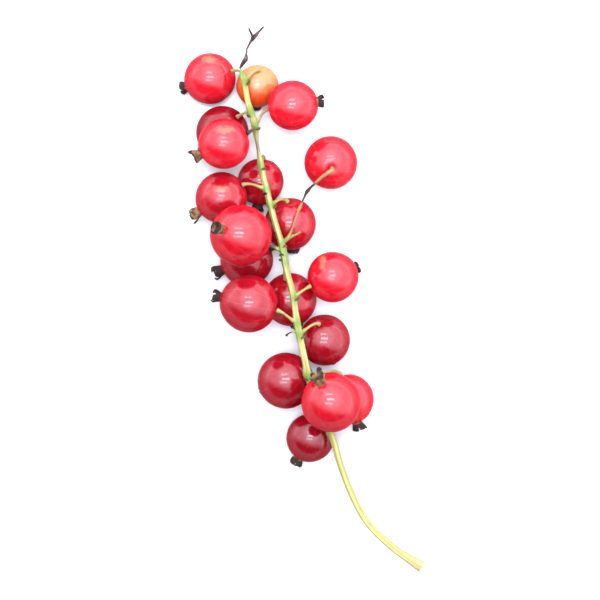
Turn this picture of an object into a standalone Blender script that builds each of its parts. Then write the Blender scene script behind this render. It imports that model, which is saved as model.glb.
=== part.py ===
"""A sprig of redcurrants lying on its side, as it was picked.

A slender green stalk carries 19 berries, each on a short stalklet of its own. Every berry ends
in the withered flower that it grew from. The stalk's outermost end has dried to a brown thread.
Berries lie on the floor or on the berries under them, and the stalk runs over the lowest ones.

Metres, +Z up, +Y towards the dry tip. The floor is at Z = 0, and the sprig's box is centred on
the origin in plan.
"""

import math
import random
from collections import namedtuple

import bmesh
import bpy
from mathutils import Quaternion, Vector

MM = 0.001

# Room between separate pieces, and between two berries that lie against each other.
GAP = 0.28 * MM
TOUCH = 0.14 * MM
# How deep the flat spot is cut that a berry lies on, and how high a withered flower clears the floor.
PRESS = 0.12 * MM
FLOOR_ROOM = 0.1 * MM

# The stalk's middle line, from the heel that it was picked by to the last living joint (mm).
STALK_ROUTE = (
    (23.1, -47.5, 1.2),
    (19.8, -45.5, 1.4),
    (16.1, -42.4, 2.1),
    (13.6, -39.4, 3.0),
    (11.4, -35.1, 4.4),
    (9.6, -30.2, 6.1),
    (8.6, -26.6, 7.1),
    (6.5, -21.5, 8.0),
    (4.8, -16.8, 8.9),
    (3.4, -11.0, 9.4),
    (2.6, -6.9, 9.6),
    (2.0, -2.8, 9.7),
    (1.0, 1.0, 9.5),
    (0.3, 4.8, 9.2),
    (-0.8, 8.5, 9.0),
    (-2.1, 13.5, 8.7),
    (-2.9, 17.0, 8.5),
    (-3.7, 21.1, 8.4),
    (-4.2, 24.6, 8.3),
    (-5.2, 28.0, 8.2),
    (-5.7, 30.8, 8.3),
    (-6.4, 33.3, 8.4),
)
STALK_STEP = 1.0 * MM
STALK_RADIUS_HEEL = 0.64 * MM
STALK_RADIUS_TIP = 0.48 * MM
JOINT_SWELL = 0.14 * MM
JOINT_SWELL_REACH = 0.9 * MM
HEEL_FLARE = 0.36 * MM
HEEL_LENGTH = 2.2 * MM
# One stretch between joints has shrivelled.
SHRIVEL_Y = 20.9 * MM
SHRIVEL_REACH = 1.6 * MM
SHRIVEL_DEPTH = 0.2 * MM

# Each berry: its joint is the Y on the stalk where its stalklet leaves, x and y are its middle in
# plan, and its flower end points along a bearing (from +X towards +Y) and a slope (above level).
# The crown is how far its withered flower stands out, and a berry may lie on those of lower layers.
# Lengths are in mm, and angles in degrees.
Berry = namedtuple("Berry", "joint x y diameter bearing slope crown skin layer")
BERRIES = (
    Berry(-24.8, 8.2, -20.5, 9.6, 117, 40, 1.5, "ripe", 1),
    Berry(-22.8, 4.9, -26.4, 7.8, 240, -20, 1.2, "dark", 0),
    Berry(-17.5, 11.2, -20.1, 8.0, 289, -10, 1.2, "ripe", 0),
    Berry(-16.3, 0.9, -17.1, 9.1, 200, -45, 1.0, "dark", 0),
    Berry(-9.6, 7.2, -10.5, 8.3, 289, -48, 1.0, "dark", 0),
    Berry(-7.7, -5.0, -4.6, 9.3, 167, -4, 1.5, "dark", 1),
    Berry(-3.6, 8.5, -0.3, 8.2, 22, -18, 1.1, "ripe", 1),
    Berry(2.0, 1.6, -3.9, 8.6, 283, -38, 1.0, "dark", 0),
    Berry(3.2, -5.4, 2.6, 8.5, 203, -10, 1.6, "dark", 0),
    Berry(3.9, -6.3, 6.4, 9.9, 163, 48, 1.6, "ripe", 2),
    Berry(5.0, 8.2, 18.3, 8.6, 100, -75, 0.9, "ripe", 0),
    Berry(11.3, 1.6, 8.4, 8.4, 277, -30, 1.2, "ripe", 0),
    Berry(13.9, -9.5, 12.6, 8.3, 211, -16, 1.9, "dark", 1),
    Berry(17.7, -3.2, 15.3, 7.5, 263, -5, 1.3, "dark", 0),
    Berry(23.6, -9.0, 21.2, 8.2, 204, -5, 1.8, "ripe", 1),
    Berry(26.4, -9.4, 23.3, 8.5, 224, -35, 1.2, "dark", 0),
    Berry(24.2, 2.0, 27.5, 8.1, 8, 6, 1.4, "ripe", 1),
    Berry(31.4, -3.7, 30.8, 6.9, 265, -45, 1.1, "unripe", 0),
    Berry(32.8, -11.4, 32.0, 8.3, 198, -22, 1.3, "ripe", 0),
)
BERRY_SIDES = 18
BERRY_RINGS = 11
# A berry is drawn out a little towards its flower, by this share of its radius.
FLOWER_END_DRAW = 0.05
CROWN_RADIUS = 1.1 * MM
CROWN_LOBES = 5
SKIN_COLOURS = {
    "ripe": (0.72, 0.03, 0.07),
    "dark": (0.42, 0.012, 0.04),
    "unripe": (0.9, 0.27, 0.1),
}

# Stalklets are slender, and thicker where they leave the stalk and where they hold their berry.
STALKLET_RADIUS = 0.3 * MM
STALKLET_ROOT = 0.14 * MM
STALKLET_KNOB = 0.18 * MM
STALKLET_STEPS = 9
# How strongly a stalklet leaves outwards and arrives along its berry's axis, as shares of its span,
# and how far it leans towards the stalk's tip as it leaves.
LEAVE_PULL = 0.9
ARRIVE_PULL = 0.75
LEAN = 0.45

# One stalklet is long and partly withered, and runs over the next berry to its own (mm).
LONG_STALKLET = 11
LONG_ROUTE = (
    (1.3, 6.1, 9.7),
    (2.0, 7.7, 10.0),
    (2.7, 9.8, 10.1),
    (3.3, 11.2, 10.0),
    (4.4, 13.6, 9.8),
    (5.6, 14.8, 10.0),
    (6.7, 15.8, 10.7),
    (7.7, 16.5, 11.2),
)
LONG_THIN = 0.23 * MM
LONG_THIN_END_Y = 14.8 * MM
LONG_KNOT = 0.14 * MM
LONG_KNOTS_Y = (10.8 * MM, 13.6 * MM)

# Stalklets that have lost their berries (mm).
BARE_ROUTES = (
    ((0.2, 5.1, 9.2), (1.6, 6.1, 9.3), (2.6, 6.6, 9.4), (3.3, 7.0, 9.6)),
    ((3.0, -9.2, 9.4), (2.1, -9.1, 9.6), (1.4, -9.4, 9.3), (0.9, -9.8, 8.9)),
)
BARE_RADIUS = 0.27 * MM

# The stalk's dried end, with its knots, and the second arm of the fork that it ends in (mm).
DRY_ROUTE = (
    (-6.1, 33.9, 8.5),
    (-5.5, 35.0, 8.7),
    (-5.4, 36.6, 8.9),
    (-4.8, 37.7, 9.0),
    (-4.2, 38.6, 9.1),
    (-3.4, 39.4, 9.3),
    (-2.6, 40.2, 9.6),
)
DRY_ARM = (
    (-4.3, 38.4, 9.1),
    (-4.7, 39.2, 8.9),
    (-5.1, 40.0, 8.6),
)
DRY_RADIUS = 0.23 * MM
DRY_KNOT = 0.16 * MM
DRY_KNOTS_Y = (34.9 * MM, 38.5 * MM)
KNOT_REACH = 0.6 * MM


def material(name, colour, roughness):
    made = bpy.data.materials.new(name)
    made.use_nodes = True
    shader = made.node_tree.nodes["Principled BSDF"]
    shader.inputs["Base Color"].default_value = (*colour, 1.0)
    shader.inputs["Roughness"].default_value = roughness
    shader.inputs["Metallic"].default_value = 0.0
    made.diffuse_color = (*colour, 1.0)
    return made


def bell(distance, reach):
    return math.exp(-((distance / reach) ** 2))


def direction(bearing, slope):
    bearing = math.radians(bearing)
    slope = math.radians(slope)
    level = math.cos(slope)
    return Vector((level * math.cos(bearing), level * math.sin(bearing), math.sin(slope)))


def in_metres(route):
    return [Vector(place) * MM for place in route]


def smooth_route(points, step):
    """Points about a step apart on a smooth curve through the given ones."""
    ends = [2 * points[0] - points[1], *points, 2 * points[-1] - points[-2]]
    route = []
    for before, low, high, after in zip(ends, ends[1:], ends[2:], ends[3:]):
        count = max(1, round((high - low).length / step))
        for i in range(count):
            t = i / count
            line = 2 * low + (high - before) * t
            bend = (2 * before - 5 * low + 4 * high - after) * t**2
            twist = (3 * low - before - 3 * high + after) * t**3
            route.append((line + bend + twist) / 2)
    route.append(points[-1].copy())
    return route


def bowed_route(start, leave, end, arrive, count):
    """Points on a curve that leaves and arrives along the given directions."""
    route = []
    for i in range(count):
        t = i / (count - 1)
        place = (2 * t**3 - 3 * t**2 + 1) * start + (3 * t**2 - 2 * t**3) * end
        place += (t**3 - 2 * t**2 + t) * leave + (t**3 - t**2) * arrive
        route.append(place)
    return route


def add_object(name, mesh):
    made = bpy.data.objects.new(name, mesh)
    bpy.context.scene.collection.objects.link(made)
    return made


def mesh_from(name, shape):
    bmesh.ops.recalc_face_normals(shape, faces=shape.faces)
    mesh = bpy.data.meshes.new(name)
    shape.to_mesh(mesh)
    shape.free()
    return mesh


def rod(name, points, radii, resolution):
    """A closed round rod along the points, with its own radius at each."""
    curve = bpy.data.curves.new(name, "CURVE")
    curve.dimensions = "3D"
    curve.bevel_depth = 1.0
    curve.bevel_resolution = resolution
    curve.use_fill_caps = True
    spline = curve.splines.new("POLY")
    spline.points.add(len(points) - 1)
    for control, place, radius in zip(spline.points, points, radii):
        control.co = (*place, 1.0)
        control.radius = radius
    guide = add_object(name, curve)
    graph = bpy.context.evaluated_depsgraph_get()
    swept = bpy.data.meshes.new_from_object(guide.evaluated_get(graph))
    bpy.data.objects.remove(guide)
    shape = bmesh.new()
    shape.from_mesh(swept)
    bpy.data.meshes.remove(swept)
    bmesh.ops.remove_doubles(shape, verts=shape.verts, dist=0.002 * MM)
    return add_object(name, mesh_from(name, shape))


def fuse(base, parts):
    """Joins the parts to the base as one body."""
    group = bpy.data.collections.new("joined")
    for part in parts:
        group.objects.link(part)
    union = base.modifiers.new("join", "BOOLEAN")
    union.operation = "UNION"
    union.operand_type = "COLLECTION"
    union.collection = group
    union.solver = "EXACT"
    graph = bpy.context.evaluated_depsgraph_get()
    joined = bpy.data.meshes.new_from_object(base.evaluated_get(graph))
    base.modifiers.remove(union)
    base.data = joined
    for part in parts:
        bpy.data.objects.remove(part)
    bpy.data.collections.remove(group)
    return base


def finish(piece, cover, parent, sharp_degrees):
    piece.data.materials.clear()
    piece.data.materials.append(cover)
    piece.data.shade_smooth()
    piece.data.set_sharp_from_angle(angle=math.radians(sharp_degrees))
    piece.parent = parent


class Stalk:
    """The stalk's middle line, on which a joint is found by its Y."""

    def __init__(self):
        self.line = smooth_route(in_metres(STALK_ROUTE), STALK_STEP)

    def at(self, y):
        for low, high in zip(self.line, self.line[1:]):
            if low.y <= y <= high.y:
                return low.lerp(high, (y - low.y) / (high.y - low.y))
        return self.line[-1].copy()

    def along(self, y):
        return (self.at(y + MM) - self.at(y - MM)).normalized()

    def radius(self, place):
        share = (place.y - self.line[0].y) / (self.line[-1].y - self.line[0].y)
        radius = STALK_RADIUS_HEEL + (STALK_RADIUS_TIP - STALK_RADIUS_HEEL) * share
        swell = max(bell(place.y - berry.joint * MM, JOINT_SWELL_REACH) for berry in BERRIES)
        flare = bell((place - self.line[0]).length, HEEL_LENGTH)
        shrivel = bell(place.y - SHRIVEL_Y, SHRIVEL_REACH)
        return radius + JOINT_SWELL * swell + HEEL_FLARE * flare - SHRIVEL_DEPTH * shrivel


class PlacedBerry:
    """A berry of the list, at the height where it comes to rest."""

    def __init__(self, number, berry, stalk, below):
        self.number = number
        self.berry = berry
        self.radius = berry.diameter / 2 * MM
        self.axis = direction(berry.bearing, berry.slope)
        self.middle = Vector((berry.x * MM, berry.y * MM, 0.0))
        heights = [self.height_on_floor()]
        for other in below:
            heights.append(self.height_on(other.middle, other.radius + TOUCH))
        if berry.layer > 0:
            for place in stalk.line:
                heights.append(self.height_on(place, stalk.radius(place) + GAP))
        self.middle.z = max(heights)

    def crown_seat(self):
        return self.radius * (1 + FLOWER_END_DRAW) + GAP

    def height_on_floor(self):
        """On its skin, or held off by its withered flower where that points far enough down."""
        crown_tip = self.crown_seat() + self.berry.crown * MM
        crown_drop = CROWN_RADIUS * self.axis.xy.length - crown_tip * self.axis.z
        return max(self.radius - PRESS, crown_drop + FLOOR_ROOM)

    def height_on(self, place, room):
        """The height at which this berry lies that far off a place under it."""
        reach = self.radius + room
        across = (self.middle.xy - place.xy).length
        if across >= reach:
            return 0.0
        return place.z + math.sqrt(reach**2 - across**2)

    def stalk_end(self):
        return self.middle - self.axis * (self.radius + GAP)

    def place(self):
        return self.axis.to_track_quat("Z", "Y").to_matrix().to_4x4()


def place_berries(stalk):
    placed = []
    for number, berry in sorted(enumerate(BERRIES, 1), key=lambda entry: entry[1].layer):
        placed.append(PlacedBerry(number, berry, stalk, placed))
    return placed


def make_berry(placed, skin, parent):
    """One fruit, with a flat spot where it meets the floor."""
    shape = bmesh.new()
    bmesh.ops.create_uvsphere(
        shape, u_segments=BERRY_SIDES, v_segments=BERRY_RINGS, radius=placed.radius
    )
    for vert in shape.verts:
        share = max(0.0, vert.co.z / placed.radius)
        vert.co.z += FLOWER_END_DRAW * placed.radius * share**4
    turned = placed.axis.to_track_quat("Z", "Y")
    bmesh.ops.rotate(shape, verts=shape.verts, matrix=turned.to_matrix())
    bmesh.ops.bisect_plane(
        shape,
        geom=shape.verts[:] + shape.edges[:] + shape.faces[:],
        plane_co=Vector((0.0, 0.0, -placed.middle.z)),
        plane_no=Vector((0.0, 0.0, -1.0)),
        clear_outer=True,
    )
    rim = [edge for edge in shape.edges if edge.is_boundary]
    if rim:
        bmesh.ops.contextual_create(shape, geom=rim)
    name = f"berry_{placed.number:02d}"
    berry = add_object(name, mesh_from(name, shape))
    berry.location = placed.middle
    finish(berry, skin, parent, 50)


def make_dried_flower(placed, dry, parent):
    """A small cup whose rim is drawn into five ragged lobes."""
    chance = random.Random(placed.number)
    sides = CROWN_LOBES * 2
    tall = placed.berry.crown * MM
    wide = CROWN_RADIUS
    shape = bmesh.new()

    def ring(radius, height, lobe_radius, lobe_height, ragged):
        verts = []
        for i in range(sides):
            lobe = i % 2 == 0
            wander = ragged * chance.uniform(-1.0, 1.0)
            turn = math.tau * i / sides
            reach = (radius + lobe_radius * lobe) * (1 + 0.4 * wander)
            rise = (height + lobe_height * lobe) * (1 + wander)
            verts.append(
                shape.verts.new(
                    (reach * math.cos(turn), reach * math.sin(turn), placed.crown_seat() + rise)
                )
            )
        return verts

    rings = [
        ring(0.8 * wide, 0.0, 0.0, 0.0, 0.0),
        ring(0.84 * wide, 0.4 * tall, 0.06 * wide, 0.0, 0.06),
        ring(0.74 * wide, 0.62 * tall, 0.26 * wide, 0.36 * tall, 0.08),
        ring(0.32 * wide, 0.46 * tall, 0.1 * wide, 0.06 * tall, 0.0),
    ]
    for low, high in zip(rings, rings[1:]):
        for i in range(sides):
            j = (i + 1) % sides
            shape.faces.new((low[i], low[j], high[j], high[i]))
    shape.faces.new(rings[0][::-1])
    shape.faces.new(rings[-1])
    bmesh.ops.triangulate(shape, faces=shape.faces)
    turned = placed.axis.to_track_quat("Z", "Y")
    turned = turned @ Quaternion((0.0, 0.0, 1.0), chance.uniform(0.0, math.tau / CROWN_LOBES))
    bmesh.ops.rotate(shape, verts=shape.verts, matrix=turned.to_matrix())
    name = f"dried_flower_{placed.number:02d}"
    flower = add_object(name, mesh_from(name, shape))
    flower.location = placed.middle
    finish(flower, dry, parent, 40)


def stalklet(stalk, placed):
    """A bowed rod from the stalk's middle line to the berry's stalk end."""
    start = stalk.at(placed.berry.joint * MM)
    end = placed.stalk_end()
    if placed.number == LONG_STALKLET:
        above = end - placed.axis * MM
        route = smooth_route([start, *in_metres(LONG_ROUTE), above, end], STALK_STEP)
    else:
        along = stalk.along(start.y)
        span = end - start
        outwards = (span - span.project(along)).normalized()
        leave = (outwards + LEAN * along).normalized() * span.length * LEAVE_PULL
        arrive = placed.axis * span.length * ARRIVE_PULL
        route = bowed_route(start, leave, end, arrive, STALKLET_STEPS)
    radii = []
    for i, place in enumerate(route):
        share = i / (len(route) - 1)
        root = STALKLET_ROOT * bell(share, 0.25)
        knob = STALKLET_KNOB * bell(1 - share, 0.16)
        radius = STALKLET_RADIUS
        if placed.number == LONG_STALKLET and place.y < LONG_THIN_END_Y:
            radius = LONG_THIN + LONG_KNOT * knots(place.y, LONG_KNOTS_Y)
        radii.append(radius + root + knob)
    return rod(f"stalklet_{placed.number:02d}", route, radii, 1)


def knots(y, knots_y):
    return max(bell(y - knot, KNOT_REACH) for knot in knots_y)


def bare_stalklet(route):
    points = smooth_route(in_metres(route), STALK_STEP)
    return rod("bare_stalklet", points, [BARE_RADIUS] * len(points), 1)


def make_stalk(stalk, placed_berries, green, parent):
    """The stalk and all its stalklets, grown together as one body."""
    trunk = rod("stalk", stalk.line, [stalk.radius(place) for place in stalk.line], 2)
    branches = [stalklet(stalk, placed) for placed in placed_berries]
    branches += [bare_stalklet(route) for route in BARE_ROUTES]
    finish(fuse(trunk, branches), green, parent, 45)


def make_dry_tip(dry, parent):
    points = smooth_route(in_metres(DRY_ROUTE), STALK_STEP)
    radii = [DRY_RADIUS + DRY_KNOT * knots(place.y, DRY_KNOTS_Y) for place in points]
    thread = rod("dry_tip", points, radii, 1)
    arm = smooth_route(in_metres(DRY_ARM), STALK_STEP)
    fork = rod("arm", arm, [DRY_RADIUS] * len(arm), 1)
    finish(fuse(thread, [fork]), dry, parent, 45)


def middle_in_plan(pieces):
    """The middle of the box round all the pieces, at floor height."""
    places = [piece.location + vert.co for piece in pieces for vert in piece.data.vertices]
    across = [place.x for place in places]
    along = [place.y for place in places]
    return Vector(((min(across) + max(across)) / 2, (min(along) + max(along)) / 2, 0.0))


def main():
    for old in list(bpy.data.objects):
        bpy.data.objects.remove(old)
    sprig = add_object("sprig", None)
    green = material("green_stalk", (0.55, 0.68, 0.18), 0.5)
    dry = material("dry_brown", (0.24, 0.15, 0.07), 0.85)
    skins = {}
    for name, colour in SKIN_COLOURS.items():
        skins[name] = material(f"{name}_skin", colour, 0.2)
    stalk = Stalk()
    placed_berries = place_berries(stalk)
    make_stalk(stalk, placed_berries, green, sprig)
    make_dry_tip(dry, sprig)
    for placed in placed_berries:
        make_berry(placed, skins[placed.berry.skin], sprig)
        make_dried_flower(placed, dry, sprig)
    sprig.location = -middle_in_plan(sprig.children)


main()
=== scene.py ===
import math
import random

import bmesh
import bpy
from mathutils import Matrix, Quaternion, Vector, kdtree, noise


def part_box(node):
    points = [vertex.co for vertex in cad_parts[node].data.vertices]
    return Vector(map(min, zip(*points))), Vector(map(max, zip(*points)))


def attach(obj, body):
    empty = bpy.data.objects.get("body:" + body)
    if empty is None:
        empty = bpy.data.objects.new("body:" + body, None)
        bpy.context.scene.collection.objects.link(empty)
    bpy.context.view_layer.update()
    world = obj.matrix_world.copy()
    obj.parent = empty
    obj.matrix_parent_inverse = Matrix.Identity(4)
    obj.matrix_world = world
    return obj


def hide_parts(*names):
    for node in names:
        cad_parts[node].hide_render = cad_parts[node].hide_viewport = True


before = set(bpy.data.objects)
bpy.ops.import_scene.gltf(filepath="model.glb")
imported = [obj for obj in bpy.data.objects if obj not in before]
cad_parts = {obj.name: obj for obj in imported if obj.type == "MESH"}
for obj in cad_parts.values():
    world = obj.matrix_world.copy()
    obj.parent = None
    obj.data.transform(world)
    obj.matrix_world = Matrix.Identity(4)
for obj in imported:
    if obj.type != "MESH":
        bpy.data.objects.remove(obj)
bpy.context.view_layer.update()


# The stalk and its stalklets, all one growth.
# Real ones are a soft green stem, swollen and greener at every joint, with a slender stalklet for each
# berry that turns olive and tan as it ages. The stem ends in the pale heel that tore off the twig.
# It is the solid stalk, rounded over at its joints, with its ribs and its berry knobs worked in.
MM = 0.001
BERRY_COUNT = 19
# The sprig's box is centred on the origin, so its routes are shifted by this (mm).
SPRIG_SHIFT = Vector((-3.21, 4.0, 0.0))
STALK_ROUTE = (
    (23.1, -47.5, 1.2),
    (19.8, -45.5, 1.4),
    (16.1, -42.4, 2.1),
    (13.6, -39.4, 3.0),
    (11.4, -35.1, 4.4),
    (9.6, -30.2, 6.1),
    (8.6, -26.6, 7.1),
    (6.5, -21.5, 8.0),
    (4.8, -16.8, 8.9),
    (3.4, -11.0, 9.4),
    (2.6, -6.9, 9.6),
    (2.0, -2.8, 9.7),
    (1.0, 1.0, 9.5),
    (0.3, 4.8, 9.2),
    (-0.8, 8.5, 9.0),
    (-2.1, 13.5, 8.7),
    (-2.9, 17.0, 8.5),
    (-3.7, 21.1, 8.4),
    (-4.2, 24.6, 8.3),
    (-5.2, 28.0, 8.2),
    (-5.7, 30.8, 8.3),
    (-6.4, 33.3, 8.4),
)
# The Y of each berry's joint on the stalk, before the shift (mm).
JOINTS = (
    -24.8, -22.8, -17.5, -16.3, -9.6, -7.7, -3.6, 2.0, 3.2, 3.9,
    5.0, 11.3, 13.9, 17.7, 23.6, 26.4, 24.2, 31.4, 32.8,
)
# The long stalklet that has withered to a thread on its way.
THREAD_ROUTE = (
    (1.3, 6.1, 9.7),
    (2.0, 7.7, 10.0),
    (2.7, 9.8, 10.1),
    (3.3, 11.2, 10.0),
    (4.4, 13.6, 9.8),
    (5.6, 14.8, 10.0),
)
# A short stalklet that has lost its berry and gone black at its end.
BARE_ROUTE = (
    (3.0, -9.2, 9.4),
    (2.1, -9.1, 9.6),
    (1.4, -9.4, 9.3),
    (0.9, -9.8, 8.9),
)
# How far each stalklet has aged, from green to dark brown.
STALKLET_AGE = (
    0.2, 0.4, 0.4, 0.5, 0.35, 0.15, 0.15, 0.4, 1.0, 1.0,
    0.45, 0.3, 0.4, 0.35, 0.85, 0.5, 0.6, 0.1, 0.4,
)
ROUTE_STEP = 0.25 * MM
# The grid that the even skin is laid on (mm), and how many times it is smoothed.
STEM_VOXEL = 0.095
STEM_ROUNDING = 6
# Edges sharper than this stay sharp.
SHARP_ANGLE = math.radians(60.0)
STEM_RADIUS = 0.62 * MM
STEM_SLIM = 0.06
# Low ribs run along the stalk and wind round it by this many radians a metre.
STEM_RIBS = 5
RIB_HEIGHT = 0.03 * MM
RIB_TWIST = 160.0
JOINT_REACH = 1.0 * MM
HEEL_REACH = 1.8 * MM
# The living end tapers from this far before its last point to this far past it.
END_BEFORE = 1.6 * MM
END_PAST = 0.4 * MM
END_TAPER = 0.62
# How far from the stalk's middle line a stalklet begins, and where it is wholly clear of the stalk.
STALKLET_START = STEM_RADIUS + 0.1 * MM
STALKLET_CLEAR = STEM_RADIUS + 0.75 * MM
STALKLET_SLIM = 0.06 * MM
# The share of its age that a stalklet shows at its foot. The rest comes along it.
FOOT_AGE = 0.55
KNOB_REACH = 1.0 * MM
KNOB_PUSH = 0.55 * MM
KNOB_FLARE = 0.18
# The thread browns, blackens and is fresher again at its berry: how much it ages, and between which Y.
THREAD_AGES = (
    (0.62, 10.2 * MM, 11.4 * MM),
    (0.38, 15.4 * MM, 16.4 * MM),
    (-0.55, 18.2 * MM, 19.4 * MM),
)
THREAD_REACH = 0.7 * MM
THREAD_THINS_Y = (10.0 * MM, 10.8 * MM)
THREAD_SHRINK = 0.3
THREAD_KNOTS_Y = (14.8 * MM, 17.6 * MM)
THREAD_KNOT_REACH = 0.6 * MM
# The bare stalklet thins as it blackens, and swells to a knot at its end, between these shares of it.
BARE_REACH = 0.75 * MM
BARE_BLACKENS = (0.3, 0.6)
BARE_SHRINK = 0.4
BARE_KNOT = (0.75, 1.0)
BARE_KNOT_SWELL = 1.8
# The stretch of the stalk that has shrivelled and browned.
SHRIVEL_Y = 24.9 * MM
SHRIVEL_REACH = 1.5 * MM
SHRIVEL_DEPTH = 0.12

STEM_PALE = (0.32, 0.3, 0.12)
STEM_GREEN = (0.19, 0.2, 0.045)
JOINT_GREEN = (0.07, 0.15, 0.012)
STALKLET_OLIVE = (0.15, 0.15, 0.04)
STALKLET_TAN = (0.18, 0.11, 0.045)
THREAD_BROWN = (0.022, 0.013, 0.01)
HEEL_TAN = (0.3, 0.22, 0.1)
SPECK_BROWN = (0.06, 0.035, 0.018)
SHRIVEL_OLIVE = (0.11, 0.08, 0.03)
BLOTCH_SCALE = 420.0
STREAK_SCALE = 2600.0
STREAK_STRETCH = (1.0, 0.16, 1.0)
SPECK_SCALE = 1500.0
STREAK_DEPTH = 0.06 * MM
GRAIN_ROUGHNESS = 0.55


def bell(distance, reach):
    return math.exp(-((distance / reach) ** 2))


def ease(value, low, high):
    share = min(1.0, max(0.0, (value - low) / (high - low)))
    return share * share * (3 - 2 * share)


def placed_route(route, step):
    """Points about a step apart on a smooth curve through a route in mm."""
    points = [(Vector(place) + SPRIG_SHIFT) * MM for place in route]
    ends = [2 * points[0] - points[1], *points, 2 * points[-1] - points[-2]]
    line = []
    for before, low, high, after in zip(ends, ends[1:], ends[2:], ends[3:]):
        count = max(1, round((high - low).length / step))
        for i in range(count):
            t = i / count
            curve = 2 * low + (high - before) * t
            curve += (2 * before - 5 * low + 4 * high - after) * t**2
            curve += (3 * low - before - 3 * high + after) * t**3
            line.append(curve / 2)
    line.append(points[-1])
    return line


def nearest_on(line):
    """A finder of the nearest point of a line."""
    tree = kdtree.KDTree(len(line))
    for i, place in enumerate(line):
        tree.insert(place, i)
    tree.balance()
    return tree


def berry_ends(number):
    """Where a berry's skin meets its stalklet, and where it meets its withered flower."""
    low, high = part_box(f"dried_flower_{number:02d}")
    crown_middle = (low + high) / 2
    skin = [vert.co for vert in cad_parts[f"berry_{number:02d}"].data.vertices]
    flower_end = min(skin, key=lambda place: (place - crown_middle).length)
    stalk_end = max(skin, key=lambda place: (place - flower_end).length)
    return stalk_end.copy(), flower_end.copy()


def add_piece(name, shape):
    """Makes a piece of a bmesh, smooth but for its sharp edges."""
    mesh = bpy.data.meshes.new(name)
    shape.to_mesh(mesh)
    shape.free()
    mesh.shade_smooth()
    mesh.set_sharp_from_angle(angle=SHARP_ANGLE)
    piece = bpy.data.objects.new(name, mesh)
    bpy.context.scene.collection.objects.link(piece)
    return piece


def rounded_copy(node, name, voxel, rounding):
    """A CAD node's mesh as one even skin, with its joints rounded over. The voxel is in mm."""
    shape = bmesh.new()
    shape.from_mesh(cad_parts[node].data)
    bmesh.ops.remove_doubles(shape, verts=shape.verts, dist=0.001 * MM)
    # The even skin is laid on a shape in mm, because it comes out coarse on one in metres.
    bmesh.ops.scale(shape, verts=shape.verts, vec=(1 / MM, 1 / MM, 1 / MM))
    piece = add_piece(name, shape)
    skin = piece.modifiers.new("skin", "REMESH")
    skin.mode = "VOXEL"
    skin.voxel_size = voxel
    soft = piece.modifiers.new("soft", "SMOOTH")
    soft.factor = 0.5
    soft.iterations = rounding
    graph = bpy.context.evaluated_depsgraph_get()
    mesh = bpy.data.meshes.new_from_object(piece.evaluated_get(graph))
    piece.modifiers.clear()
    piece.data = mesh
    mesh.transform(Matrix.Scale(MM, 4))
    mesh.shade_smooth()
    return piece


def store(mesh, name, values):
    """Keeps one number for each point of a mesh, for its material to read."""
    kept = mesh.attributes.new(name, "FLOAT", "POINT")
    kept.data.foreach_set("value", values)


class Signal:
    """A socket of a node tree, on which sums are written in plain Python."""

    def __init__(self, tree, socket):
        self.tree = tree
        self.socket = socket

    def maths(self, operation, *values):
        numbers = dict(enumerate(values))
        return self.tree.node("ShaderNodeMath", {"operation": operation}, numbers)

    def __add__(self, other):
        return self.maths("ADD", self, other)

    def __radd__(self, other):
        return self.maths("ADD", other, self)

    def __sub__(self, other):
        return self.maths("SUBTRACT", self, other)

    def __rsub__(self, other):
        return self.maths("SUBTRACT", other, self)

    def __mul__(self, other):
        return self.maths("MULTIPLY", self, other)

    def __rmul__(self, other):
        return self.maths("MULTIPLY", other, self)

    def __pow__(self, other):
        return self.maths("POWER", self, other)


class NodeTree:
    """The nodes of a material or of the world, under construction."""

    def __init__(self, tree):
        self.tree = tree

    def node(self, kind, settings, sockets, output=0):
        """Adds a node, with its settings first and then its sockets' values or links."""
        made = self.tree.nodes.new(kind)
        for name, value in settings.items():
            setattr(made, name, value)
        for socket, value in sockets.items():
            self.feed(made.inputs[socket], value)
        return Signal(self, made.outputs[output])

    def feed(self, socket, value):
        if isinstance(value, Signal):
            self.tree.links.new(value.socket, socket)
        elif socket.type == "RGBA":
            socket.default_value = (*value, 1.0)
        else:
            socket.default_value = value

    def parts(self, vector):
        """The three numbers of a vector."""
        return [self.node("ShaderNodeSeparateXYZ", {}, {0: vector}, axis) for axis in range(3)]

    def step(self, value, low, high):
        """Rises smoothly from 0 to 1 between two values, or falls where the first is the higher."""
        settings = {"interpolation_type": "SMOOTHSTEP"}
        return self.node("ShaderNodeMapRange", settings, {0: value, 1: low, 2: high})


class Paint(NodeTree):
    """A material under construction, around its one Principled shader."""

    def __init__(self, name, **constants):
        self.material = bpy.data.materials.new(name)
        self.material.use_nodes = True
        super().__init__(self.material.node_tree)
        self.shader = self.tree.nodes["Principled BSDF"]
        for socket, value in constants.items():
            self.shader.inputs[socket.replace("_", " ")].default_value = value

    def set(self, socket, value):
        self.feed(self.shader.inputs[socket], value)

    def number(self, name):
        return self.node("ShaderNodeAttribute", {"attribute_name": name}, {}, "Fac")

    def vector(self, name):
        return self.node("ShaderNodeAttribute", {"attribute_name": name}, {}, "Vector")

    def place(self):
        return self.node("ShaderNodeTexCoord", {}, {}, "Object")

    def scaled(self, vector, scale):
        return self.node("ShaderNodeMapping", {}, {"Vector": vector, "Scale": scale})

    def noise(self, vector, scale, detail=3.0):
        sockets = {"Vector": vector, "Scale": scale, "Detail": detail, "Roughness": GRAIN_ROUGHNESS}
        return self.node("ShaderNodeTexNoise", {}, sockets, "Fac")

    def mix(self, share, first, second):
        return self.node("ShaderNodeMix", {"data_type": "RGBA"}, {0: share, 6: first, 7: second}, 2)

    def relief(self, height, distance, strength=1.0):
        sockets = {"Height": height, "Distance": distance, "Strength": strength}
        self.set("Normal", self.node("ShaderNodeBump", {}, sockets))


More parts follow.
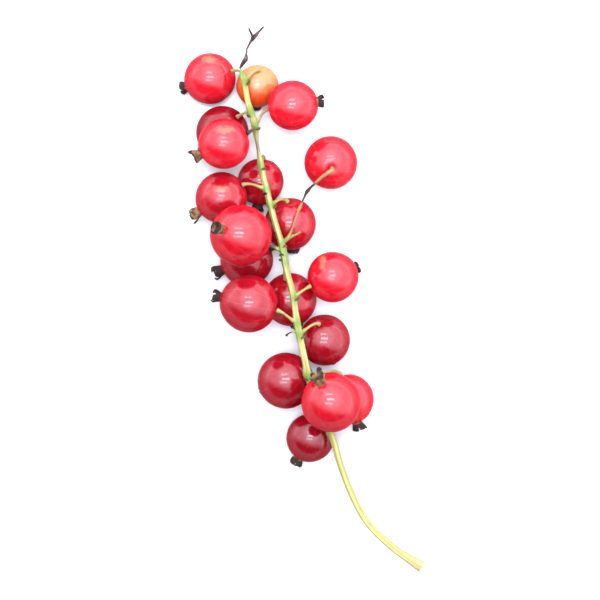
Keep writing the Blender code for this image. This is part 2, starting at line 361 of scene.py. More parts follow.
stem_line = placed_route(STALK_ROUTE, ROUTE_STEP)
stem_finder = nearest_on(stem_line)
thread_line = placed_route(THREAD_ROUTE, ROUTE_STEP)
thread_finder = nearest_on(thread_line)
bare_line = placed_route(BARE_ROUTE, ROUTE_STEP)
bare_finder = nearest_on(bare_line)
joint_ys = [(joint + SPRIG_SHIFT.y) * MM for joint in JOINTS]
berry_places = {number: berry_ends(number) for number in range(1, BERRY_COUNT + 1)}


def stem_at(y):
    return min(stem_line, key=lambda place: abs(place.y - y))


stalklet_spans = []
for number, (stalk_end, _) in berry_places.items():
    stalklet_spans.append((stem_at(joint_ys[number - 1]), stalk_end))


def off_span(place, span):
    """How far a place lies from a stalklet's straight span, and how far along it."""
    start, end = span
    along = (place - start).dot(end - start) / (end - start).length_squared
    share = min(1.0, max(0.0, along))
    return (place - start.lerp(end, share)).length, share


stalk = rounded_copy("stalk", "fruit_stalk", STEM_VOXEL, STEM_ROUNDING)
facts = {"stalklet": [], "aged": [], "joint": [], "heel": [], "rib": [], "shrivel": []}
stem_normals = [vert.normal.copy() for vert in stalk.data.vertices]
for vert, normal in zip(stalk.data.vertices, stem_normals):
    nearest, index, off = stem_finder.find(vert.co)
    before = stem_line[max(0, index - 2)]
    after = stem_line[min(len(stem_line) - 1, index + 2)]
    along = (after - before).normalized()
    side = along.cross(Vector((0.0, 0.0, 1.0))).normalized()
    spoke = vert.co - nearest
    turn = math.atan2(spoke.dot(side.cross(along)), spoke.dot(side))
    joint = max(bell(nearest.y - y, JOINT_REACH) for y in joint_ys)
    stalklet = ease(off, STALKLET_START, STALKLET_CLEAR)
    rib = math.cos(STEM_RIBS * turn + RIB_TWIST * nearest.y) * (1 - stalklet)
    aged = 0.0
    if stalklet > 0:
        choices = [(*off_span(vert.co, span), i) for i, span in enumerate(stalklet_spans)]
        _, share, owner = min(choices)
        aged = STALKLET_AGE[owner] * (FOOT_AGE + (1 - FOOT_AGE) * share)
        thread_near, _, thread_gap = thread_finder.find(vert.co)
        if thread_gap > THREAD_REACH:
            vert.co -= normal * STALKLET_SLIM * stalklet
        else:
            aged = sum(change * ease(vert.co.y, low, high) for change, low, high in THREAD_AGES)
            knot = max(bell(vert.co.y - y, THREAD_KNOT_REACH) for y in THREAD_KNOTS_Y)
            thin = ease(vert.co.y, *THREAD_THINS_Y) * (1 - knot)
            vert.co += (thread_near - vert.co) * THREAD_SHRINK * thin
        bare_near, bare_index, bare_gap = bare_finder.find(vert.co)
        if bare_gap < BARE_REACH:
            bare_share = bare_index / (len(bare_line) - 1)
            aged = ease(bare_share, *BARE_BLACKENS)
            knot = ease(bare_share, *BARE_KNOT)
            vert.co += (bare_near - vert.co) * BARE_SHRINK * aged * (1 - BARE_KNOT_SWELL * knot)
    shrivel = bell(nearest.y - SHRIVEL_Y, SHRIVEL_REACH) * (1 - stalklet)
    vert.co += (nearest - vert.co) * (SHRIVEL_DEPTH * shrivel + STEM_SLIM * (1 - stalklet))
    facts["shrivel"].append(shrivel)
    facts["stalklet"].append(stalklet)
    facts["aged"].append(aged * stalklet)
    facts["joint"].append(joint * (1 - stalklet))
    facts["heel"].append(bell((vert.co - stem_line[0]).length, HEEL_REACH))
    facts["rib"].append(rib)
    vert.co += spoke.normalized() * rib * RIB_HEIGHT
    to_end = (vert.co - stem_line[-1]).dot((stem_line[-1] - stem_line[-8]).normalized())
    taper = ease(to_end, -END_BEFORE, END_PAST) * (1 - stalklet)
    vert.co += (nearest - vert.co) * END_TAPER * taper
    for stalk_end, flower_end in berry_places.values():
        reach = (vert.co - stalk_end).length
        if reach > 2 * KNOB_REACH:
            continue
        axis = (flower_end - stalk_end).normalized()
        pull = bell(reach, KNOB_REACH)
        out = vert.co - stalk_end
        out -= out.dot(axis) * axis
        vert.co += axis * KNOB_PUSH * pull + out * KNOB_FLARE * pull
for name, values in facts.items():
    store(stalk.data, name, values)

stem_paint = Paint(
    "fresh_stalk",
    Subsurface_Weight=0.12,
    Subsurface_Scale=0.8 * MM,
    Specular_IOR_Level=0.2,
    Coat_Roughness=0.25,
)
stem_place = stem_paint.place()
blotch = stem_paint.noise(stem_place, BLOTCH_SCALE)
streak = stem_paint.noise(stem_paint.scaled(stem_place, STREAK_STRETCH), STREAK_SCALE, 4.0)
speck = stem_paint.noise(stem_place, SPECK_SCALE, 1.0)
aged_share = stem_paint.number("aged")
green_share = stem_paint.step(stem_paint.number("rib") * 0.28 + blotch + streak * 0.5, 0.45, 1.05)
stem_colour = stem_paint.mix(green_share, STEM_PALE, STEM_GREEN)
# What lies over the fresh green, from the lowest up: how much of it shows where, and its colour.
stem_layers = (
    (stem_paint.number("joint") * 0.8, JOINT_GREEN),
    (stem_paint.number("shrivel") * 0.9, SHRIVEL_OLIVE),
    (stem_paint.number("stalklet") * (0.35 + blotch * 0.7), STALKLET_OLIVE),
    (stem_paint.step(aged_share, 0.15, 0.6), STALKLET_TAN),
    (stem_paint.step(aged_share, 0.55, 0.9), THREAD_BROWN),
    (stem_paint.number("heel") * 0.9, HEEL_TAN),
    (stem_paint.step(speck, 0.68, 0.76) * 0.55, SPECK_BROWN),
)
for share, colour in stem_layers:
    stem_colour = stem_paint.mix(share, stem_colour, colour)
stem_paint.set("Base Color", stem_colour)
stem_paint.set("Roughness", 0.42 + blotch * 0.16 + aged_share * 0.3)
stem_paint.set("Coat Weight", 0.25 - aged_share * 0.25)
stem_paint.relief(streak + blotch * 0.5, STREAK_DEPTH, 0.7)
stalk.data.materials.append(stem_paint.material)
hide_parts("stalk")
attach(stalk, "root")


# The bracts.
# A withered papery scale sits under nearly every stalklet where it leaves the stalk, brown and curled.
# Each is a small leaf of mesh, cupped and drawn to a point, with its foot in the joint.
BRACT_SEED = 4
BRACT_ALONG = 6
BRACT_ACROSS = 4
# The share of the joints whose bract has dropped off.
BRACT_DROPPED = 0.25
BRACT_LONG = 0.75 * MM
BRACT_LONG_SPREAD = (0.6, 1.1)
BRACT_WIDE = 0.85 * MM
BRACT_WIDE_SPREAD = (0.85, 1.1)
BRACT_THICK = 0.07 * MM
# Its width follows a sine from this share of the wave, raised to this power to fill it out.
BRACT_FOOT = 0.28
BRACT_FULLNESS = 0.7
BRACT_CURL = (0.2, 0.8)
BRACT_CUP = 0.22
BRACT_WRINKLE = 0.05 * MM
# How far below the joint it sits, how far out from the stalk's middle, and how much it turns upwards.
BRACT_BELOW = 0.7 * MM
BRACT_SEAT = 0.85 * STEM_RADIUS
BRACT_RISE = 1.3
# How far it leans along the stalk and away from it.
BRACT_LEAN = (0.85, 0.3)
BRACT_TAN = (0.1, 0.07, 0.025)
WITHERED_DARK = (0.022, 0.014, 0.012)
BRACT_GRAIN_SCALE = 2200.0
BRACT_BLOTCH_SCALE = 600.0
BRACT_GRAIN_DEPTH = 0.06 * MM

bract_chance = random.Random(BRACT_SEED)
bract_shape = bmesh.new()
for number, (start, end) in enumerate(stalklet_spans):
    along = (stem_at(start.y + MM) - stem_at(start.y - MM)).normalized()
    outwards = end - start
    outwards -= outwards.dot(along) * along
    outwards = (outwards.normalized() + Vector((0.0, 0.0, BRACT_RISE))).normalized()
    if bract_chance.random() < BRACT_DROPPED:
        continue
    long = BRACT_LONG * bract_chance.uniform(*BRACT_LONG_SPREAD)
    wide = BRACT_WIDE * bract_chance.uniform(*BRACT_WIDE_SPREAD)
    curl = bract_chance.uniform(*BRACT_CURL)
    scale_verts = bmesh.ops.create_grid(
        bract_shape, x_segments=BRACT_ACROSS, y_segments=BRACT_ALONG, size=0.5
    )["verts"]
    across = along.cross(outwards)
    foot = start - along * BRACT_BELOW + outwards * BRACT_SEAT
    for vert in scale_verts:
        share = vert.co.y + 0.5
        wave = min(1.0, BRACT_FOOT + (1 - BRACT_FOOT) * share)
        sideways = vert.co.x * wide * math.sin(math.pi * wave) ** BRACT_FULLNESS
        cup = (vert.co.x * 2) ** 2 * wide * BRACT_CUP
        bend = share * curl
        lift = long * share * math.sin(bend) + cup * math.cos(bend)
        rise = long * share * math.cos(bend)
        wrinkle = BRACT_WRINKLE * noise.noise(Vector((vert.co.x * 5, share * 4, number)))
        upwards = along * rise * BRACT_LEAN[0]
        vert.co = foot + across * sideways + upwards + outwards * (lift + rise * BRACT_LEAN[1] + wrinkle)
bmesh.ops.recalc_face_normals(bract_shape, faces=bract_shape.faces)
bracts = add_piece("bracts", bract_shape)
thick = bracts.modifiers.new("thick", "SOLIDIFY")
thick.thickness = BRACT_THICK
thick.offset = 0.0

bract_paint = Paint("papery_bract", Roughness=0.85, Specular_IOR_Level=0.15)
bract_place = bract_paint.place()
bract_grain = bract_paint.noise(bract_place, BRACT_GRAIN_SCALE, 4.0)
bract_blotch = bract_paint.noise(bract_place, BRACT_BLOTCH_SCALE, 2.0)
bract_dark = bract_paint.step(bract_blotch, 0.45, 0.75)
bract_paint.set("Base Color", bract_paint.mix(bract_dark, BRACT_TAN, WITHERED_DARK))
bract_paint.relief(bract_grain, BRACT_GRAIN_DEPTH)
bracts.data.materials.append(bract_paint.material)
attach(bracts, "root")


# The dried tip.
# The stalk's last joints have withered to a thin dark thread with knots, which ends in a small fork.
# It is the solid tip, wrinkled along its length, and its foot is drawn down into the living end.
TIP_VOXEL = 0.06
TIP_ROUNDING = 4
TIP_WRINKLE = 0.04 * MM
# The sizes of its wrinkles, wide and fine. The fine ones are half as deep.
TIP_WIDE_WRINKLES = 0.35 * MM
TIP_FINE_WRINKLES = 0.15 * MM
TIP_SHRINK = 0.05 * MM
TIP_KNOTS_Y = (38.9 * MM, 42.5 * MM)
TIP_KNOT_REACH = 0.55 * MM
TIP_KNOT_SWELL = 0.05 * MM
TIP_FOOT_REACH = 1.1 * MM
TIP_BROWN = (0.025, 0.016, 0.013)
TIP_GREY = (0.09, 0.078, 0.078)
TIP_BLOTCH_SCALE = 900.0
TIP_GRAIN_SCALE = 5000.0
TIP_GRAIN_STRETCH = (1.0, 0.3, 1.0)
TIP_GRAIN_DEPTH = 0.05 * MM

tip = rounded_copy("dry_tip", "withered_tip", TIP_VOXEL, TIP_ROUNDING)
tip_foot = min((vert.co for vert in tip.data.vertices), key=lambda place: place.y).copy()
tip_pull = stem_line[-1] - tip_foot
tip_normals = [vert.normal.copy() for vert in tip.data.vertices]
for vert, normal in zip(tip.data.vertices, tip_normals):
    wrinkle = noise.noise(vert.co / TIP_WIDE_WRINKLES) + 0.5 * noise.noise(vert.co / TIP_FINE_WRINKLES)
    pull = bell((vert.co - tip_foot).length, TIP_FOOT_REACH)
    knot = max(bell(vert.co.y - y, TIP_KNOT_REACH) for y in TIP_KNOTS_Y)
    swell = TIP_KNOT_SWELL * knot - TIP_SHRINK * (1 - knot)
    vert.co += normal * (wrinkle * TIP_WRINKLE + swell) + tip_pull * pull

tip_paint = Paint("withered_thread", Roughness=0.8, Specular_IOR_Level=0.1)
tip_place = tip_paint.place()
tip_blotch = tip_paint.noise(tip_place, TIP_BLOTCH_SCALE, 3.0)
tip_grain = tip_paint.noise(tip_paint.scaled(tip_place, TIP_GRAIN_STRETCH), TIP_GRAIN_SCALE, 3.0)
tip_paint.set("Base Color", tip_paint.mix(tip_paint.step(tip_blotch, 0.4, 0.65), TIP_BROWN, TIP_GREY))
tip_paint.relief(tip_grain, TIP_GRAIN_DEPTH)
tip.data.materials.append(tip_paint.material)
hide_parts("dry_tip")
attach(tip, "root")


# The berries.
# Each is a round fruit of juicy flesh in a thin glossy skin, a little drawn out towards its flower and
# dimpled at its stalklet. Pale veins run from end to end, and the flesh is mottled darker at random,
# which also serves as painted shade of the seeds inside.
# Ripe ones are bright red and the ripest garnet, and one is still orange.
BERRY_SIDES = 64
BERRY_RINGS = 40
# These are shares of the berry's radius: how far it is drawn out at its flower, its faint lumps, the
# dimple at its stalklet and the shallow one round its flower.
FLOWER_END_DRAW = 0.05
LUMP_DEPTH = 0.008
DIMPLE_DEPTH = 0.075
DIMPLE_REACH = 0.2
BROW_DEPTH = 0.035
BROW_REACH = 0.3
LUMP_SCALE = 1.6
# How far on in the noise each berry's lumps and clouds start from the last one's, so that no two match.
LUMP_SHIFT = 7.0
CLOUD_SHIFT = 3.0
# How ripe each berry is, from bright red at 0 to garnet at 1.
RIPENESS = (
    0.45, 0.9, 0.12, 0.78, 0.82, 0.68, 0.15, 0.62, 0.75, 0.4,
    0.06, 0.55, 0.55, 0.52, 0.14, 0.9, 0.0, 0.0, 0.2,
)
UNRIPE_BERRY = 18
BRIGHT_RED = (0.42, 0.006, 0.014)
GARNET = (0.105, 0.0008, 0.004)
ORANGE = (0.42, 0.045, 0.006)
PEACH = (0.32, 0.155, 0.055)
VEIN_PALE = (0.5, 0.12, 0.09)
SCAR_TAN = (0.26, 0.13, 0.06)
VEIN_COUNT = 12
VEIN_WIDTH = 0.22
VEIN_WANDER = 0.9
VEIN_SHARE = 0.14
CLOUD_SCALE = 1.5
FLESH_SCALE = 4.5
PORE_SCALE = 60.0
WANDER_SCALE = 2.5
SKIN_DEPTH = 0.03 * MM
# The clear gloss thins by this share towards the berry's outline, between these slants of its surface.
GLOSS_LOSS = 0.75
GLOSS_SLANTS = (0.27, 0.6)
# Tan marks on the skin: the berry, where on it as a share of its radius (x, y), half its width and
# height (mm), and its strength.
BLEMISHES = {
    19: (-0.05, 0.72, 1.5, 0.8, 0.6),
    18: (-0.2, 0.35, 0.6, 0.6, 0.8),
    15: (0.05, 0.5, 1.7, 0.75, 0.6),
    13: (0.0, 0.3, 1.4, 0.7, 0.5),
    7: (-0.4, 0.6, 0.6, 1.5, 0.65),
}


def blend_colour(share, first, second):
    return tuple(a + (b - a) * share for a, b in zip(first, second))


def berry_mesh(number, radius, axis, middle):
    shape = bmesh.new()
    bmesh.ops.create_uvsphere(shape, u_segments=BERRY_SIDES, v_segments=BERRY_RINGS, radius=1.0)
    grown = shape.verts.layers.float_vector.new("grown")
    for vert in shape.verts:
        unit = vert.co.copy()
        vert[grown] = unit
        off_axis = unit.xy.length
        lump = noise.noise(unit * LUMP_SCALE + Vector((number * LUMP_SHIFT, 0.0, 0.0)))
        vert.co = unit * (1 + LUMP_DEPTH * lump)
        if unit.z > 0:
            vert.co.z += FLOWER_END_DRAW * unit.z**4 - BROW_DEPTH * bell(off_axis, BROW_REACH)
        else:
            vert.co.z += DIMPLE_DEPTH * bell(off_axis, DIMPLE_REACH)
    bmesh.ops.scale(shape, verts=shape.verts, vec=(radius, radius, radius))
    bmesh.ops.rotate(shape, verts=shape.verts, matrix=axis.to_track_quat("Z", "Y").to_matrix())
    bmesh.ops.translate(shape, verts=shape.verts, vec=middle)
    # The skin has settled flat on the table under the lowest berries.
    bmesh.ops.bisect_plane(
        shape,
        geom=shape.verts[:] + shape.edges[:] + shape.faces[:],
        plane_co=Vector((0.0, 0.0, 0.0)),
        plane_no=Vector((0.0, 0.0, -1.0)),
        clear_outer=True,
    )
    rim = [edge for edge in shape.edges if edge.is_boundary]
    if rim:
        bmesh.ops.holes_fill(shape, edges=rim, sides=0)
    return shape


def berry_skin(number, radius, middle):
    paint = Paint(
        f"berry_skin_{number:02d}",
        Subsurface_Weight=0.8,
        Subsurface_Radius=(1.0, 0.12, 0.09),
        Subsurface_Scale=3.0 * MM,
        Specular_IOR_Level=0.0,
        Coat_Roughness=0.13,
        Coat_IOR=1.5,
    )
    grown = paint.vector("grown")
    east, north, end = paint.parts(grown)
    start = (number * CLOUD_SHIFT, 0.0, 0.0)
    drift = paint.node("ShaderNodeVectorMath", {"operation": "ADD"}, {0: grown, 1: start})
    cloud = paint.noise(drift, CLOUD_SCALE, 2.0)
    flesh = paint.noise(drift, FLESH_SCALE, 3.0)
    pore = paint.noise(drift, PORE_SCALE, 2.0)
    wander = paint.noise(drift, WANDER_SCALE, 1.0)
    off_axis = (east * east + north * north) ** 0.5
    turn = east.maths("ARCTAN2", north, east) * (VEIN_COUNT / 2) + wander * VEIN_WANDER
    off_vein = turn.maths("ABSOLUTE", turn.maths("SINE", turn)) * off_axis
    vein = paint.step(off_vein, VEIN_WIDTH, 0.0) * paint.step(off_axis, 0.15, 0.4) * (0.4 + flesh * 0.8)
    if number == UNRIPE_BERRY:
        colour = paint.mix(paint.step(end + cloud * 0.8, -0.45, 0.45), PEACH, ORANGE)
        vein_colour = PEACH
    else:
        ripeness = RIPENESS[number - 1]
        colour = blend_colour(ripeness, BRIGHT_RED, GARNET)
        # The darker red of the flesh's random mottling, which also paints the shade of the seeds inside.
        seed_shade_red = blend_colour(0.3, colour, GARNET)
        vein_colour = blend_colour(0.5, VEIN_PALE, colour)
        colour = paint.mix(paint.step(flesh + cloud * 0.5, 0.55, 0.95), colour, seed_shade_red)
    colour = paint.mix(vein * VEIN_SHARE, colour, vein_colour)
    colour = paint.mix(paint.step(end, 0.965, 1.0) * 0.6, colour, SCAR_TAN)
    roughness = 0.26 + flesh * 0.14
    if number in BLEMISHES:
        east_share, north_share, wide, high, strength = BLEMISHES[number]
        up_share = math.sqrt(1 - east_share**2 - north_share**2)
        spot = middle + Vector((east_share, north_share, up_share)) * radius
        sockets = {0: paint.place(), 1: spot}
        from_spot = paint.node("ShaderNodeVectorMath", {"operation": "SUBTRACT"}, sockets)
        from_spot = paint.scaled(from_spot, (1 / (wide * MM), 1 / (high * MM), 0.0))
        off_spot = paint.node("ShaderNodeVectorMath", {"operation": "LENGTH"}, {0: from_spot}, "Value")
        mark = paint.step(off_spot + flesh * 1.6, 2.0, 1.0) * strength
        colour = paint.mix(mark, colour, SCAR_TAN)
        roughness = roughness + mark * 0.3
    paint.set("Base Color", colour)
    paint.set("Roughness", roughness)
    facing = paint.node("ShaderNodeLayerWeight", {}, {"Blend": 0.5}, "Facing")
    gloss = 1 - GLOSS_LOSS * paint.step(facing, *GLOSS_SLANTS)
    paint.set("Coat Weight", (1.1 - flesh * 0.4) * gloss)
    paint.relief(pore * 0.5 + vein * 0.3 + flesh * 2.0, SKIN_DEPTH, 0.6)
    return paint.material


for number, (stalk_end, flower_end) in berry_places.items():
    span = flower_end - stalk_end
    radius = span.length / (2 + FLOWER_END_DRAW)
    axis = span.normalized()
    middle = stalk_end + axis * radius
    berry = add_piece(f"redcurrant_{number:02d}", berry_mesh(number, radius, axis, middle))
    berry.data.materials.append(berry_skin(number, radius, middle))
    node = f"berry_{number:02d}"
    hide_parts(node)
    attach(berry, "root")


# The withered flowers.
# Every berry keeps the dry remains of its flower: a short papery cup, five curled sepals that have
# turned black at their tips, and a few shrivelled stamens. The cup's foot is grown into the skin.
FLOWER_SEED = 100
PAPER_THICK = 0.15 * MM
# How far the lowest flowers are kept off the table.
FLOOR_ROOM = 0.03 * MM
CUP_SIDES = 20
CUP_SINK = 0.55 * MM
# The cup's share of the flower's height. The sepals are the rest.
CUP_SHARE = 0.4
CUP_FOOT = 0.8 * MM
CUP_MOUTH = 1.02 * MM
# The cup's rings above its foot: how high up the cup each is, and how wide beside the foot.
CUP_RINGS = ((0.45, 1.0), (0.8, 1.18), (1.0, CUP_MOUTH / CUP_FOOT))
CUP_UNEVEN = (0.95, 1.05)
SEPALS = 5
SEPAL_STEPS = 5
SEPAL_WIDTHS = (1.0, 1.0, 0.94, 0.8, 0.5)
SEPAL_LONG = (0.7, 1.3)
# In radians: how far a sepal leans out at its foot, and how far it curls in from there to its tip.
SEPAL_LEAN = (0.35, 0.75)
SEPAL_CURL = (-3.0, -0.4)
CLOSED_CURL = (-3.2, -1.8)
SEPAL_TWIST = (-0.02 * MM, 0.02 * MM)
SEPAL_CUP = 0.5
SEPAL_RUFFLE = 0.22 * MM
STAMENS = 6
STAMEN_SIDES = 6
STAMEN_RADIUS = 0.055 * MM
STAMEN_TIP = 0.6 * STAMEN_RADIUS
STAMEN_SINK = 0.5 * CUP_SINK
STAMEN_OFF = (0.05 * MM, 0.5 * MM)
STAMEN_LONG = (0.5, 0.95)
STAMEN_LEAN = 0.4
PAPER_TAN = (0.19, 0.12, 0.055)
PAPER_BROWN = (0.06, 0.034, 0.018)
PAPER_BLOTCH_SCALE = 1400.0
PAPER_GRAIN_SCALE = 4500.0
PAPER_DEPTH = 0.08 * MM
# From where on, from foot to tip, each flower's paper is black. Those seen end-on stay tan.
BLACK_FROM = {1: 0.75, 10: 0.55, 15: 0.62, 13: 0.62, 6: 0.05, 9: 0.1, 12: 0.05, 14: 0.05, 17: 0.25}
BLACK_FROM_MOST = 0.2
BLACK_FADE = 0.15
BLACK_FOOT = 0.5
BLACK_STAMEN = 0.9
# How much of each flower's full height is left, where it has shrunk to a lump, and of the others'.
SHRUNKEN = {6: 0.75, 7: 0.26, 12: 0.6, 13: 0.85, 14: 0.75, 15: 0.68, 17: 0.55, 19: 0.75}
SHRUNKEN_MOST = 0.95
# The flowers whose sepals have closed up into a lump.
CLOSED = (4, 5, 6, 7, 9, 12, 14, 17, 18, 19)


def sepal_edges(ring, turn):
    """The edges of the cup's mouth that one sepal grows from."""
    found = []
    for edge in ring:
        middle = (edge.verts[0].co + edge.verts[1].co) / 2
        off = (math.atan2(middle.y, middle.x) - turn + math.pi) % math.tau - math.pi
        if abs(off) < math.pi / SEPALS:
            found.append(edge)
    return found


def extruded(shape, edges):
    """Extrudes edges and returns the new ones and their points."""
    made = bmesh.ops.extrude_edge_only(shape, edges=edges)["geom"]
    new_edges = [part for part in made if isinstance(part, bmesh.types.BMEdge)]
    new_verts = [part for part in made if isinstance(part, bmesh.types.BMVert)]
    return new_edges, new_verts


def flower_mesh(number, seat, tall):
    chance = random.Random(FLOWER_SEED + number)
    shape = bmesh.new()
    black = shape.verts.layers.float.new("black")
    black_from = BLACK_FROM.get(number, BLACK_FROM_MOST)
    fade = (black_from - BLACK_FADE, black_from + BLACK_FADE)
    bmesh.ops.create_circle(shape, cap_ends=True, segments=CUP_SIDES, radius=CUP_FOOT)
    bmesh.ops.translate(shape, verts=shape.verts, vec=(0.0, 0.0, seat))
    for vert in shape.verts:
        vert[black] = BLACK_FOOT
    ring = [edge for edge in shape.edges if edge.is_boundary]
    mouth = CUP_SINK + tall * CUP_SHARE
    for share, reach in CUP_RINGS:
        ring, verts = extruded(shape, ring)
        for vert in verts:
            out = vert.co.xy.normalized() * CUP_FOOT * reach * chance.uniform(*CUP_UNEVEN)
            vert.co = Vector((out.x, out.y, seat + mouth * share))
            vert[black] = ease(CUP_SHARE * share, *fade)
    # The sepals stand where the cup's points are, so the first one's turn is a whole number of them.
    base_turn = chance.uniform(0.0, math.tau)
    base_turn = round(base_turn / (math.tau / CUP_SIDES)) * math.tau / CUP_SIDES
    for i in range(SEPALS):
        turn = base_turn + i * math.tau / SEPALS
        outwards = Vector((math.cos(turn), math.sin(turn), 0.0))
        sideways = Vector((-outwards.y, outwards.x, 0.0))
        edges = sepal_edges(ring, turn)
        lean = chance.uniform(*SEPAL_LEAN)
        curl = chance.uniform(*(CLOSED_CURL if number in CLOSED else SEPAL_CURL))
        twist = chance.uniform(*SEPAL_TWIST)
        reach = tall * (1 - CUP_SHARE) * chance.uniform(*SEPAL_LONG)
        spine = outwards * CUP_MOUTH + Vector((0.0, 0.0, seat + mouth))
        for k in range(SEPAL_STEPS):
            bend = lean + curl * (k / SEPAL_STEPS)
            heading = outwards * math.sin(bend) + Vector((0.0, 0.0, math.cos(bend)))
            spine = spine + heading * (reach / SEPAL_STEPS)
            edges, verts = extruded(shape, edges)
            for vert in verts:
                aside = (vert.co - outwards * vert.co.dot(outwards)).dot(sideways)
                if k > 0:
                    aside /= SEPAL_WIDTHS[k - 1]
                aside *= SEPAL_WIDTHS[k]
                cup = -((aside / CUP_MOUTH) ** 2) * CUP_MOUTH * SEPAL_CUP
                ruffle = SEPAL_RUFFLE * noise.noise(Vector((aside / MM * 3, k * 0.8, number + i * 5.0)))
                place = spine + sideways * (aside + twist * k)
                vert.co = place + outwards * (cup + ruffle) + Vector((0.0, 0.0, ruffle))
                along = CUP_SHARE + (1 - CUP_SHARE) * (k + 1) / SEPAL_STEPS
                vert[black] = ease(along, *fade)
    bmesh.ops.recalc_face_normals(shape, faces=shape.faces)
    bmesh.ops.solidify(shape, geom=shape.faces[:], thickness=PAPER_THICK)
    for i in range(STAMENS):
        turn = chance.uniform(0.0, math.tau)
        off = chance.uniform(*STAMEN_OFF)
        long = tall * chance.uniform(*STAMEN_LONG) + STAMEN_SINK
        thread = bmesh.ops.create_cone(
            shape,
            cap_ends=True,
            segments=STAMEN_SIDES,
            radius1=STAMEN_RADIUS,
            radius2=STAMEN_TIP,
            depth=long,
        )["verts"]
        lean = Quaternion((math.sin(turn), -math.cos(turn), 0.0), -chance.uniform(0.0, STAMEN_LEAN))
        bmesh.ops.translate(shape, verts=thread, vec=(0.0, 0.0, long / 2))
        bmesh.ops.rotate(shape, verts=thread, matrix=lean.to_matrix())
        foot = Vector((math.cos(turn) * off, math.sin(turn) * off, seat + STAMEN_SINK))
        bmesh.ops.translate(shape, verts=thread, vec=foot)
        for vert in thread:
            vert[black] = BLACK_STAMEN
    return shape


paper = Paint("withered_paper", Specular_IOR_Level=0.12)
paper_place = paper.place()
paper_blotch = paper.noise(paper_place, PAPER_BLOTCH_SCALE, 3.0)
paper_grain = paper.noise(paper_place, PAPER_GRAIN_SCALE, 4.0)
paper_colour = paper.mix(paper.step(paper_blotch, 0.35, 0.65), PAPER_TAN, PAPER_BROWN)
paper_black = paper.step(paper.number("black") + (paper_blotch - 0.5) * 0.6, 0.25, 0.75)
paper.set("Base Color", paper.mix(paper_black, paper_colour, WITHERED_DARK))
paper.set("Roughness", 0.75 + paper_grain * 0.2)
paper.relief(paper_grain + paper_blotch, PAPER_DEPTH)

for number, (stalk_end, flower_end) in berry_places.items():
    axis = (flower_end - stalk_end).normalized()
    node_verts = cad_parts[f"dried_flower_{number:02d}"].data.vertices
    full = max((vert.co - flower_end).dot(axis) for vert in node_verts)
    crown_shape = flower_mesh(number, -CUP_SINK, full * SHRUNKEN.get(number, SHRUNKEN_MOST))
    turned = axis.to_track_quat("Z", "Y").to_matrix()
    bmesh.ops.rotate(crown_shape, verts=crown_shape.verts, matrix=turned)
    bmesh.ops.translate(crown_shape, verts=crown_shape.verts, vec=flower_end)
    for vert in crown_shape.verts:
        vert.co.z = max(vert.co.z, FLOOR_ROOM)
    crown = add_piece(f"withered_flower_{number:02d}", crown_shape)
    smooth = crown.modifiers.new("smooth", "SUBSURF")
    smooth.levels = 1
    smooth.render_levels = 1
    crown.data.materials.append(paper.material)
    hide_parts(f"dried_flower_{number:02d}")
    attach(crown, "root")


# The table that the sprig lies on, and the light.
# A white glossy table in a dim room, with one wide soft light beyond the sprig's tip and a smaller one
# overhead. Three narrow lamps above give the small striped glints on every berry.
FLOOR_SIZE = 20.0
FLOOR_DROP = 0.02 * MM
# The table's own colour. It looks white, because the lights are mirrored in its gloss.
FLOOR_COLOUR = (0.26, 0.273, 0.254)
ROOM_COLOUR = (1.0, 0.95, 1.08)
ROOM_DARK = 0.1
# A pale band round the horizon, which fades between these heights, as the sines of the angles.
HORIZON_GLOW = 0.95
HORIZON_FADE = (0.05, 0.25)
# Each soft light: its middle's direction, its brightness, and how far round from there it fades from
# and to, as the cosines of the angles.
SOFT_LIGHTS = (
    ((0.25, 0.82, 0.35), 3.45, 0.06, -0.45),
    ((0.08, 0.3, 0.95), 2.6, 0.94, 0.62),
)
# The narrow lamps shine straight down. Their glows are on the same scale as the room's brightness,
# where a glow of 1 takes this much energy for each square metre of the lamp.
BAR_COLOUR = (1.0, 0.95, 1.1)
BAR_SIZE = (0.5, 0.09)
BAR_PLACES = ((-0.12, -0.13, 0.94), (0.0, 0.12, 0.94), (-0.06, 0.46, 0.94))
BAR_GLOWS = (9.0, 16.0, 11.0)
ENERGY_FOR_AREA = 4.0

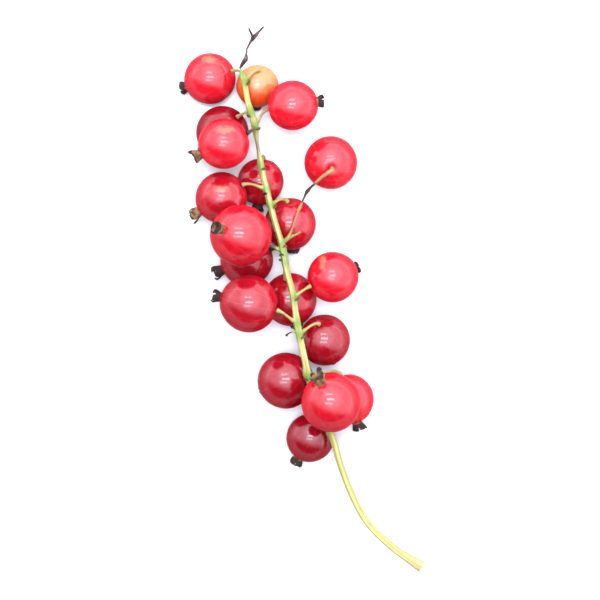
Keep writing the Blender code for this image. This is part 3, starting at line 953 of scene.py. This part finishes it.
floor_shape = bmesh.new()
bmesh.ops.create_grid(floor_shape, x_segments=2, y_segments=2, size=FLOOR_SIZE / 2)
bmesh.ops.translate(floor_shape, verts=floor_shape.verts, vec=(0.0, 0.0, -FLOOR_DROP))
floor = add_piece("table", floor_shape)
floor_paint = Paint("white_table", Roughness=0.25, Specular_IOR_Level=1.0)
floor_paint.set("Base Color", FLOOR_COLOUR)
floor.data.materials.append(floor_paint.material)

room = bpy.data.worlds.new("pale_room")
room.use_nodes = True
room_tree = NodeTree(room.node_tree)
room_glow = room.node_tree.nodes["Background"]
direction = room_tree.node("ShaderNodeTexCoord", {}, {}, "Generated")
rise = room_tree.parts(direction)[2]
near_horizon = room_tree.step(rise.maths("ABSOLUTE", rise), HORIZON_FADE[1], HORIZON_FADE[0])
strength = HORIZON_GLOW * near_horizon + ROOM_DARK
for towards, glow, fade_from, fade_to in SOFT_LIGHTS:
    sockets = {0: direction, 1: Vector(towards).normalized()}
    facing = room_tree.node("ShaderNodeVectorMath", {"operation": "DOT_PRODUCT"}, sockets, "Value")
    strength = strength + glow * room_tree.step(facing, fade_to, fade_from)
room_tree.feed(room_glow.inputs["Color"], ROOM_COLOUR)
room_tree.feed(room_glow.inputs["Strength"], strength)
bpy.context.scene.world = room

for i, (place, glow) in enumerate(zip(BAR_PLACES, BAR_GLOWS)):
    lamp = bpy.data.lights.new(f"bar_{i}", "AREA")
    lamp.shape = "RECTANGLE"
    lamp.size, lamp.size_y = BAR_SIZE
    lamp.energy = glow * ENERGY_FOR_AREA * BAR_SIZE[0] * BAR_SIZE[1]
    lamp.color = BAR_COLOUR
    bar = bpy.data.objects.new(f"bar_{i}", lamp)
    bar.location = place
    bpy.context.scene.collection.objects.link(bar)


# The camera looks straight down, as the photograph does, through a long lens and close on the sprig.
# Its field is the width of the picture on the table, in metres.
CAMERA_HEIGHT = 0.9
CAMERA_FIELD = 0.098
SENSOR_MM = 36.0

camera_data = bpy.data.cameras.new("camera")
camera_data.sensor_width = SENSOR_MM
camera_data.lens = SENSOR_MM * CAMERA_HEIGHT / CAMERA_FIELD
camera_data.clip_start = 0.01
camera_data.clip_end = 10.0
camera = bpy.data.objects.new("camera", camera_data)
camera.location = (0.0, 0.0, CAMERA_HEIGHT)
bpy.context.scene.collection.objects.link(camera)
bpy.context.scene.camera = camera
bpy.context.scene.view_settings.view_transform = "Standard"
